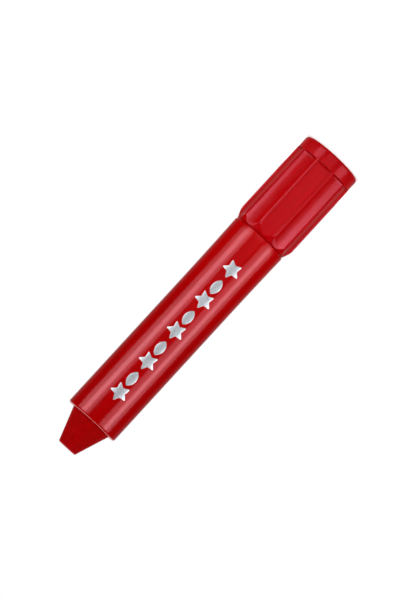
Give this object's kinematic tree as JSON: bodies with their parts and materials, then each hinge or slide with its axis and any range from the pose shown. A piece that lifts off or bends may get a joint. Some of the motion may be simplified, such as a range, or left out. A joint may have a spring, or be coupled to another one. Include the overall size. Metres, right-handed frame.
{
  "type": "crayon",
  "caption": "Round twist-up crayon with a glossy barrel, a blunt cone of wax at the tip and a fluted knob at the rear that feeds the wax.",
  "frame": {"origin": "centre of the flat rear end of the knob, which it stands on", "axes": "+Z along the crayon's axis, from the knob to the wax tip; -Y towards the side that carries the foil pattern"},
  "size_m": [0.0184, 0.0184, 0.107],
  "materials": {
    "barrel_plastic": "glossy moulded plastic, saturated red",
    "foil": "hot-stamped silver foil, satin",
    "inner_plastic": "moulded plastic, red, satin",
    "ring_plastic": "natural moulded plastic",
    "seal_rubber": "black rubber",
    "knob_plastic": "glossy moulded plastic, saturated red",
    "plug_plastic": "moulded plastic, red, slightly duller",
    "screw_plastic": "natural moulded plastic",
    "wax": "deep red wax, smooth and barely shiny",
    "cup_plastic": "natural moulded plastic",
    "nut_plastic": "grey moulded plastic"
  },
  "bodies": {
    "barrel": {"barrel": "barrel_plastic", "barrel_foil": "foil", "guide_tube": "inner_plastic", "snap_ring": "ring_plastic", "seal_ring": "seal_rubber"},
    "knob": {"knob": "knob_plastic", "end_plug": "plug_plastic", "feed_screw": "screw_plastic"},
    "stick": {"wax_stick": "wax", "stick_cup": "cup_plastic", "drive_nut": "nut_plastic"}
  },
  "joints": [
    {"name": "knob_turn", "type": "hinge", "parent": "barrel", "child": "knob", "pos_m": [0, 0, 0], "axis": [0, 0, 1], "range_deg": [-540, 1890]},
    {"name": "stick_feed", "type": "slide", "parent": "barrel", "child": "stick", "axis": [0, 0, 1], "range_m": [-0.012, 0.042]}
  ],
  "couplings": [
    {"joint": "knob_turn", "follows": "stick_feed", "rad_per_m": 785.4}
  ]
}
